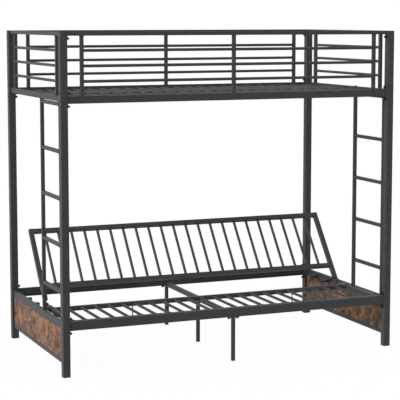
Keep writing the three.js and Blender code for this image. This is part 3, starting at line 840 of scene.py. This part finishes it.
def make_end_rails(end, sx):
    top, deck = "top_end_rail_" + end, "deck_end_rail_" + end
    lower, crossbar = "lower_end_rail_" + end, "crossbar_" + end
    x = middle_of(top).x
    for name, bottom, height in (
        (top, low_of(top).z, high_of(top).z - low_of(top).z),
        (deck, low_of(deck).z, high_of(deck).z - low_of(deck).z),
        (lower, high_of(lower).z - LOWER_END_RAIL, LOWER_END_RAIL),
        (crossbar, low_of(crossbar).z, CROSSBAR),
    ):
        y0, y1 = low_of(name).y, high_of(name).y
        centre = (x, bottom + height / 2)
        steel = Steelwork()
        steel.tube("y", y0, y1, centre, RAIL, height)
        seam = rounded(RAIL, height, centre)
        if name == top:
            seam = ground_flush(seam, top=bottom + height)
        for face in (y0, y1):
            steel.weld("y", face, seam)
        if name == lower:
            panel_tabs(steel, sx, bottom - PANEL_TAB_REACH, bottom + TUBE_CORNER)
            make_shelves(steel, sx, x)
        if name == crossbar:
            panel_tabs(steel, sx, bottom + CROSSBAR / 2, bottom + CROSSBAR + PANEL_TAB_REACH)
        steel.finish(name + "_tube", COAT, [name])


def make_shelves(steel, sx, x):
    face = x - sx * RAIL / 2
    top = low_of("seat_frame").z - RUNNING_GAP
    outer = high_of("post_back_left").y - POST - SHELF_POST_GAP
    inner = outer - SHELF_PITCH
    for y in (-outer, -inner, inner, outer):
        half = SHELF_WIDTH / 2
        tip = face - sx * SHELF_REACH
        steel.plate((face, y - half, top - SHELF), (tip, y + half, top))
        for outside, inside in ((y - half, y - half + SHELF), (y + half, y + half - SHELF)):
            steel.plate((face, outside, top - SHELF_WEB), (tip, inside, top - EDGE))


def make_ladder(end):
    for part in ("front", "back"):
        name = f"ladder_{end}_{part}_tube"
        low, high, middle = reach_of(name)
        steel = Steelwork()
        steel.tube("z", low.z, high.z, (middle.x, middle.y), LIGHT_TUBE)
        for level in (low.z, high.z):
            steel.weld("z", level, rounded(LIGHT_TUBE, LIGHT_TUBE, (middle.x, middle.y)))
        steel.finish(name + "_upright", COAT, [name])
    for name in sorted(nodes):
        if name.startswith(f"ladder_{end}_rung"):
            low, high, middle = reach_of(name)
            steel = Steelwork()
            steel.tube("y", low.y, high.y, (middle.x, middle.z), LIGHT_TUBE)
            for face in (low.y, high.y):
                steel.weld("y", face, rounded(LIGHT_TUBE, LIGHT_TUBE, (middle.x, middle.z)))
            steel.finish(name + "_tube", COAT, [name])


def slat_count(span):
    return math.floor(span / SLAT_PITCH)


def make_deck(tree):
    name = "upper_deck"
    low, high = low_of(name), high_of(name)
    spine = Steelwork()
    spine.tube("x", low.x, high.x, (0, high.z - DECK_SPINE / 2), DECK_SPINE_WIDTH, DECK_SPINE)
    for face in (low.x, high.x):
        spine.weld("x", face, rounded(DECK_SPINE_WIDTH, DECK_SPINE, (0, high.z - DECK_SPINE / 2)))
    spine.add(grown(tree, None, Count=DECK_SLATS, Pitch=(high.x - low.x) / DECK_SLATS,
                    Length=high.y - low.y, Diameter=BAR, Weld=WELD, Inner_Weld_Place=DECK_SPINE_WIDTH / 2,
                    Centre=(0.0, 0.0, high.z - BAR / 2), Material=COAT))
    spine.finish("upper_deck_slats", COAT, [name])


def make_seat(tree):
    name = "seat_frame"
    low, high = low_of(name), high_of(name)
    half = FRAME_TUBE / 2
    z = high.z - half
    steel = Steelwork()
    for y in (low.y + half, high.y - half):
        steel.tube("x", low.x, high.x, (y, z), FRAME_TUBE)
    for x in (low.x + half, high.x - half):
        steel.tube("y", low.y + FRAME_TUBE, high.y - FRAME_TUBE, (x, z), FRAME_TUBE)
        seam = ground_flush(rounded(FRAME_TUBE, FRAME_TUBE, (x, z)), bottom=z - half)
        for face in (low.y + FRAME_TUBE, high.y - FRAME_TUBE):
            steel.weld("y", face, seam)
    inner = high.x - low.x - 2 * FRAME_TUBE
    depth = high.y - low.y
    steel.add(grown(tree, None, Count=slat_count(inner), Pitch=SLAT_PITCH,
                    Length=depth - 2 * FRAME_TUBE, Diameter=BAR, Weld=WELD,
                    Inner_Weld_Place=depth / 2 - FRAME_TUBE,
                    Centre=(0.0, (low.y + high.y) / 2, high.z - SLAT_DROP - BAR / 2), Material=COAT))
    steel.finish("seat_frame_slats", COAT, [name])


def make_beam_and_legs():
    low, high, middle = reach_of("centre_beam")
    steel = Steelwork()
    steel.tube("y", low.y, high.y, (middle.x, middle.z), FRAME_TUBE)
    steel.finish("centre_beam_tube", COAT, ["centre_beam"])
    for place in ("front", "middle", "back"):
        name = "centre_leg_" + place
        low, high, middle = reach_of(name)
        steel = Steelwork()
        top = high.z - FLANGE
        steel.tube("z", low.z, top, (middle.x, middle.y), LIGHT_TUBE)
        steel.weld("z", top, rounded(LIGHT_TUBE, LIGHT_TUBE, (middle.x, middle.y)))
        steel.plate((low.x, low.y, top), high)
        steel.finish(name + "_tube", COAT, [name])


def make_foot(name):
    low, high, middle = reach_of(name)
    corner = POST_CORNER if name.startswith("foot_") else TUBE_CORNER
    width = high.x - low.x
    outline = rounded(width, width, (middle.x, middle.y), corner)
    foot = Steelwork()
    foot.prism("z", low.z, low.z + FOOT_BASE, outline, FOOT_EDGE)
    lip = 0 if name.startswith("foot_") else LEG_FOOT_LIP
    plug = width - 2 * (lip + TUBE_WALL + RUNNING_GAP)
    foot.tube("z", low.z + FOOT_BASE - FOOT_EDGE, high.z, (middle.x, middle.y), plug)
    foot.finish(name + "_base", PLASTIC, [name])


def make_panel(name):
    low, high = low_of(name), high_of(name)
    board = Steelwork()
    board.plate(low, high, PANEL_EDGE)
    board.finish(name + "_board", WOOD, [name])


def make_loop(name):
    low, high, middle = reach_of(name)
    half = (high.x - low.x - WIRE) / 2
    bend, top = LOOP_BEND, high.z - WIRE / 2 - low.z
    path = [(-half, 0)]
    path += arc((-half + bend, top - bend), bend, math.pi, math.pi / 2, LOOP_STEPS)
    path += arc((half - bend, top - bend), bend, math.pi / 2, 0, LOOP_STEPS)
    path += [(half, 0)]
    wire = Steelwork()
    rings = []
    for i, (u, v) in enumerate(path):
        before, after = path[max(i - 1, 0)], path[min(i + 1, len(path) - 1)]
        run = Vector((after[0] - before[0], 0, after[1] - before[1])).normalized()
        out = Vector((run.z, 0, -run.x))
        ring = []
        for side in range(WIRE_SIDES):
            turn = math.tau * side / WIRE_SIDES
            offset = out * math.cos(turn) + Vector((0, 1, 0)) * math.sin(turn)
            ring.append(Vector((middle.x + u, middle.y, low.z + v)) + offset * WIRE / 2)
        rings.append(ring)
    wire.loft(rings)
    for u in (-half, half):
        wire.weld("z", low.z, disc(WIRE, (middle.x + u, middle.y), LOOP_STEPS))
    wire.finish(name + "_wire", COAT, [name])


# The folding backrest and its hinges

fold = frame["joints"][0]
PIVOT = Vector(fold["pos_m"])
RECLINE = math.radians(fold["range_deg"][1])

TONGUE_OUTER = FRAME_TUBE / 2
TONGUE_INNER = TONGUE_OUTER - TONGUE
OUTER_CHEEK = TONGUE_OUTER + RUNNING_GAP
INNER_CHEEK = TONGUE_INNER - RUNNING_GAP - HINGE_PLATE
CHEEK_NOSE = (-0.45 * math.pi, 0.55 * math.pi)  # arcs around the pin, from and to
TONGUE_NOSE = (0.39 * math.pi, 1.41 * math.pi)


def hinge_plate(steel, sx, start, end, outline):
    """A plate across a hinge, between two places measured from the side tube's middle outwards."""
    x = sx * seat_tube_x()
    outline = [(PIVOT.y + u, PIVOT.z + v) for u, v in outline]
    steel.prism("x", *sorted((x + sx * start, x + sx * end)), outline, EDGE)


def seat_tube_x():
    return high_of("seat_frame").x - FRAME_TUBE / 2


def make_bracket(name, sx):
    x = sx * seat_tube_x()
    front = low_of(name).y - PIVOT.y
    top, bottom = PIVOT_DROP - TUBE_CORNER, PIVOT_DROP - FRAME_TUBE + TUBE_CORNER
    outline = [(front, bottom), (-CHEEK_SLOPE, bottom)]
    outline += arc((0, 0), HINGE_RADIUS, *CHEEK_NOSE, HINGE_STEPS)
    outline += [(-CHEEK_SLOPE, top), (front, top)]
    steel = Steelwork()
    for face in (OUTER_CHEEK, INNER_CHEEK):
        hinge_plate(steel, sx, face, face + HINGE_PLATE, outline)
    z = PIVOT.z + PIVOT_DROP - FRAME_TUBE / 2
    width = 2 * OUTER_CHEEK + HINGE_PLATE
    steel.tube("y", PIVOT.y + front, PIVOT.y - STUB_SETBACK, (x, z), width, FRAME_TUBE)
    steel.finish(name + "_cheeks", COAT, [name])


def make_arm(name, sx):
    x = sx * seat_tube_x()
    top_edge = high_of("post_back_left").y - POST / 2 - RAIL / 2 - BACKREST_GAP - PIVOT.y
    z = PIVOT_DROP - FRAME_TUBE / 2
    half = FRAME_TUBE / 2 - TUBE_CORNER
    root = ARM_SETBACK + TONGUE_ROOT
    steel = Steelwork()
    steel.tube("y", PIVOT.y + ARM_SETBACK, PIVOT.y + top_edge, (x, PIVOT.z + z), FRAME_TUBE)
    outline = [(ARM_SETBACK, z - half), (root, z - half), (root, z + half), (ARM_SETBACK, z + half)]
    outline += arc((0, 0), HINGE_RADIUS, *TONGUE_NOSE, HINGE_STEPS)
    hinge_plate(steel, sx, TONGUE_INNER, TONGUE_OUTER - EDGE, outline)
    steel.turn(PIVOT, RECLINE)
    steel.finish(name + "_tube", COAT, [name], "backrest")


def make_backrest(tree):
    x1 = seat_tube_x() - FRAME_TUBE / 2
    half = FRAME_TUBE / 2
    top_edge = high_of("post_back_left").y - POST / 2 - RAIL / 2 - BACKREST_GAP
    near = PIVOT.y + BACKREST_SETBACK
    z = PIVOT.z + PIVOT_DROP - half
    steel = Steelwork()
    for y in (near + half, top_edge - half):
        steel.tube("x", -x1, x1, (y, z), FRAME_TUBE)
        seam = ground_flush(rounded(FRAME_TUBE, FRAME_TUBE, (y, z)), bottom=z - half)
        for face in (-x1, x1):
            steel.weld("x", face, seam)
    depth = top_edge - near
    steel.add(grown(tree, None, Count=slat_count(2 * x1), Pitch=SLAT_PITCH,
                    Length=depth - 2 * FRAME_TUBE, Diameter=BAR, Weld=WELD,
                    Inner_Weld_Place=depth / 2 - FRAME_TUBE,
                    Centre=(0.0, near + depth / 2, z), Material=COAT))
    steel.turn(PIVOT, RECLINE)
    steel.finish("backrest_slats", COAT, ["backrest_frame"], "backrest")


# Bolts, nuts and screws, each drawn with its foot on the origin and its axis along Z


def turned_ring(radius, flats=0):
    """One level of a fastener: round, or with flats at that radius."""
    ring = []
    for step in range(FASTENER_SIDES):
        turn = math.tau * step / FASTENER_SIDES
        reach = radius
        if flats:
            from_flat = (turn + math.pi / flats) % (math.tau / flats) - math.pi / flats
            reach = radius / math.cos(from_flat)
        ring.append((reach * math.cos(turn), reach * math.sin(turn)))
    return ring


def turned(name, levels):
    """A fastener lofted through levels of (height, inner radius of its outline, flats or 0)."""
    steel = Steelwork()
    steel.loft([[(u, v, height) for u, v in turned_ring(radius, flats)] for height, radius, flats in levels])
    bmesh.ops.recalc_face_normals(steel.bm, faces=steel.bm.faces)
    mesh = bpy.data.meshes.new(name)
    steel.bm.to_mesh(mesh)
    steel.bm.free()
    return mesh


def washer_levels():
    return [(0, WASHER - BREAK, 0), (0, WASHER, 0), (WASHER_THICKNESS - BREAK, WASHER, 0),
            (WASHER_THICKNESS, WASHER - BREAK, 0)]


def button_head():
    """A low domed head with a hexagon socket, on a washer."""
    levels = washer_levels() + [(WASHER_THICKNESS, HEAD, 0), (WASHER_THICKNESS + HEAD_RIM, HEAD, 0)]
    rise = HEAD_HEIGHT - HEAD_RIM
    for step in range(1, DOME_STEPS + 1):
        share = step / DOME_STEPS
        levels.append((WASHER_THICKNESS + HEAD_RIM + rise * math.sin(share * math.pi / 2),
                       HEAD - (HEAD - HEAD_TOP) * (1 - math.cos(share * math.pi / 2)), 0))
    top = WASHER_THICKNESS + HEAD_HEIGHT
    return turned("button_head", levels + [(top, SOCKET, HEX), (top - SOCKET_DEPTH, SOCKET, HEX)])


def flat_head():
    """A thin flat head with a hexagon socket, bedded on the tube."""
    return turned("flat_head", [(0, FLAT_HEAD, 0), (FLAT_HEAD_RIM, FLAT_HEAD, 0),
                                (FLAT_HEAD_HEIGHT, FLAT_HEAD - FLAT_HEAD_SLOPE, 0),
                                (FLAT_HEAD_HEIGHT, SOCKET, HEX), (BREAK, SOCKET, HEX)])


def cap_nut():
    """A hexagon nut with a domed cap, on a washer."""
    foot = WASHER_THICKNESS
    top = foot + NUT_HEIGHT + BREAK
    levels = washer_levels() + [(foot, NUT - BREAK, HEX), (foot + BREAK, NUT, HEX),
                                (foot + NUT_HEIGHT, NUT, HEX), (top, NUT - BREAK, 0)]
    for step in range(DOME_STEPS + 1):
        turn = math.pi / 2 * step / (DOME_STEPS + 0.5)  # ends half a step short, with a small flat face
        levels.append((top + CAP_HEIGHT * math.sin(turn), CAP * math.cos(turn), 0))
    return turned("cap_nut", levels)


def hex_head():
    """A hexagon head with a chamfered top, on a washer."""
    foot = WASHER_THICKNESS
    return turned("hex_head", washer_levels() + [
        (foot, NUT, HEX), (foot + NUT_HEIGHT - BREAK, NUT, HEX), (foot + NUT_HEIGHT, NUT - BREAK, 0)])


def pan_head():
    """A panel screw's head with a hexagon socket."""
    return turned("pan_head", [(0, SCREW, 0), (SCREW_RIM, SCREW, 0), (SCREW_HEIGHT - BREAK, SCREW - BREAK, 0),
                               (SCREW_HEIGHT, SCREW - SCREW_CROWN, 0), (SCREW_HEIGHT, SCREW_SOCKET, HEX),
                               (SCREW_RIM, SCREW_SOCKET, HEX)])


def fasten(name, shape, places, body="bed_frame"):
    """Puts a fastener at each (point, facing) and makes one piece of them."""
    pattern = bpy.data.objects.new(shape.name, shape)
    bpy.context.scene.collection.objects.link(pattern)
    points = bpy.data.meshes.new("places")
    points.from_pydata([point for point, facing in places], [], [])
    points.attributes.new(FACING, "FLOAT_VECTOR", "POINT").data.foreach_set(
        "vector", [value for point, facing in places for value in facing])
    mesh = grown(fasteners, points, Fastener=pattern, Material=BOLT)
    bpy.data.objects.remove(pattern)
    dress(name, mesh, BOLT, body=body)


def post_bolt_places():
    """Where each bolt through a post enters it, and where its nut sits on the side rail's end plate."""
    heads, nuts = [], []
    hole = END_PLATE_REACH - BOLT_REACH
    for side in ("front", "back"):
        levels = [low_of("top_side_rail_" + side).z + hole]
        for rail in ("deck_side_rail_" + side, "lower_side_rail_" + side):
            levels += [low_of(rail).z + hole, high_of(rail).z - hole]
        for sx in (-1, 1):
            y = middle_of("post_" + side + "_right").y
            head_x = sx * high_of("post_" + side + "_right").x
            nut_x = sx * (high_of("deck_side_rail_" + side).x - END_PLATE)
            heads += [((head_x, y, z), (sx, 0, 0)) for z in levels]
            nuts += [((nut_x, y, z), (-sx, 0, 0)) for z in levels]
    return heads, nuts


def end_rail_bolt_places():
    """Bolts down through each deck end rail into the ladder, and across it into the deck's spine."""
    down, across = [], []
    for end, sx in (("left", -1), ("right", 1)):
        rail = "deck_end_rail_" + end
        for part in ("front", "back"):
            ladder = middle_of(f"ladder_{end}_{part}_tube")
            down.append(((ladder.x, ladder.y, high_of(rail).z), (0, 0, 1)))
        face = sx * (abs(middle_of(rail).x) + RAIL / 2)
        across.append(((face, 0, high_of("upper_deck").z - DECK_SPINE / 2), (sx, 0, 0)))
    return down, across


def leg_bolt_places():
    places = []
    for place in ("front", "middle", "back"):
        low, high, middle = reach_of("centre_leg_" + place)
        along = Vector((1, 0, 0)) if high.x - low.x > high.y - low.y else Vector((0, 1, 0))
        for side in (-1, 1):
            point = middle + along * side * LEG_BOLT_PITCH / 2
            places.append(((point.x, point.y, high.z - FLANGE), (0, 0, -1)))
    return places


def panel_screw_places():
    places = []
    for end, sx in (("left", -1), ("right", 1)):
        face = sx * (high_of("post_back_right").x - POST / 2 - PANEL / 2 - PANEL_TAB)
        outer = high_of("post_back_left").y - POST - PANEL_TAB_GAP
        upper = high_of("lower_end_rail_" + end).z - LOWER_END_RAIL - PANEL_TAB_REACH / 2
        lower = low_of("crossbar_" + end).z + CROSSBAR + PANEL_TAB_REACH / 2
        places += [((face, y, z), (-sx, 0, 0)) for y in (-outer, 0, outer) for z in (upper, lower)]
    return places


def hinge_bolt_places(along, outer_reach, inner_reach):
    """Heads on the outer side of each hinge and nuts on its inner side, at a place along its tube."""
    heads, nuts = [], []
    for sx in (-1, 1):
        x = sx * seat_tube_x()
        heads.append(((x + sx * outer_reach, along.y, along.z), (sx, 0, 0)))
        nuts.append(((x - sx * inner_reach, along.y, along.z), (-sx, 0, 0)))
    return heads, nuts


def make_fasteners():
    heads, nuts = post_bolt_places()
    down, across = end_rail_bolt_places()
    fasten("post_bolt_heads", flat_head(), heads)
    fasten("post_bolt_nuts", cap_nut(), nuts)
    fasten("ladder_bolt_heads", button_head(), down)
    fasten("spine_bolt_heads", flat_head(), across)
    fasten("leg_flange_bolts", hex_head(), leg_bolt_places())
    fasten("panel_screws", pan_head(), panel_screw_places())

    tube_middle = PIVOT_DROP - FRAME_TUBE / 2
    stub = PIVOT + Vector((0, -STUB_BOLT, tube_middle))
    heads, nuts = hinge_bolt_places(stub, OUTER_CHEEK + HINGE_PLATE, -INNER_CHEEK)
    fasten("hinge_stub_bolt_heads", pan_head(), heads)
    fasten("hinge_stub_nuts", hex_head(), nuts)
    arm = PIVOT + about_x(RECLINE) @ Vector((0, ARM_BOLT, tube_middle))
    heads, nuts = hinge_bolt_places(arm, FRAME_TUBE / 2, FRAME_TUBE / 2)
    fasten("arm_bolt_heads", pan_head(), heads, "backrest")
    fasten("arm_bolt_nuts", pan_head(), nuts, "backrest")


make_camera()
make_world()
make_key_light()
make_floor()

COAT = charcoal_powder_coat()
PLASTIC = black_plastic()
BOLT = black_bolt()
WOOD = rustic_wood()

slat_row = slat_row_tree()
fasteners = fastener_tree()
for side, sy in (("front", -1), ("back", 1)):
    for end in ("left", "right"):
        make_post(f"post_{side}_{end}")
        make_foot(f"foot_{side}_{end}")
    make_side_rail("top_side_rail_" + side, True)
    make_side_rail("deck_side_rail_" + side, False)
    make_side_rail("lower_side_rail_" + side, False, sy)
    make_guard("guard_" + side, "x", [0])
for end, sx in (("left", -1), ("right", 1)):
    make_guard("guard_" + end, "y", [])
    make_end_rails(end, sx)
    make_ladder(end)
    make_panel("end_panel_" + end)
    make_loop("wire_loop_" + end)
    make_bracket("hinge_bracket_" + end, sx)
    make_arm("backrest_arm_" + end, sx)
make_deck(slat_row)
make_seat(slat_row)
make_backrest(slat_row)
make_beam_and_legs()
for place in ("front", "middle", "back"):
    make_foot("leg_foot_" + place)
make_fasteners()
for end in ("left", "right"):
    wear("pivot_bolt_" + end, BOLT)

bpy.context.scene.view_settings.view_transform = "Standard"
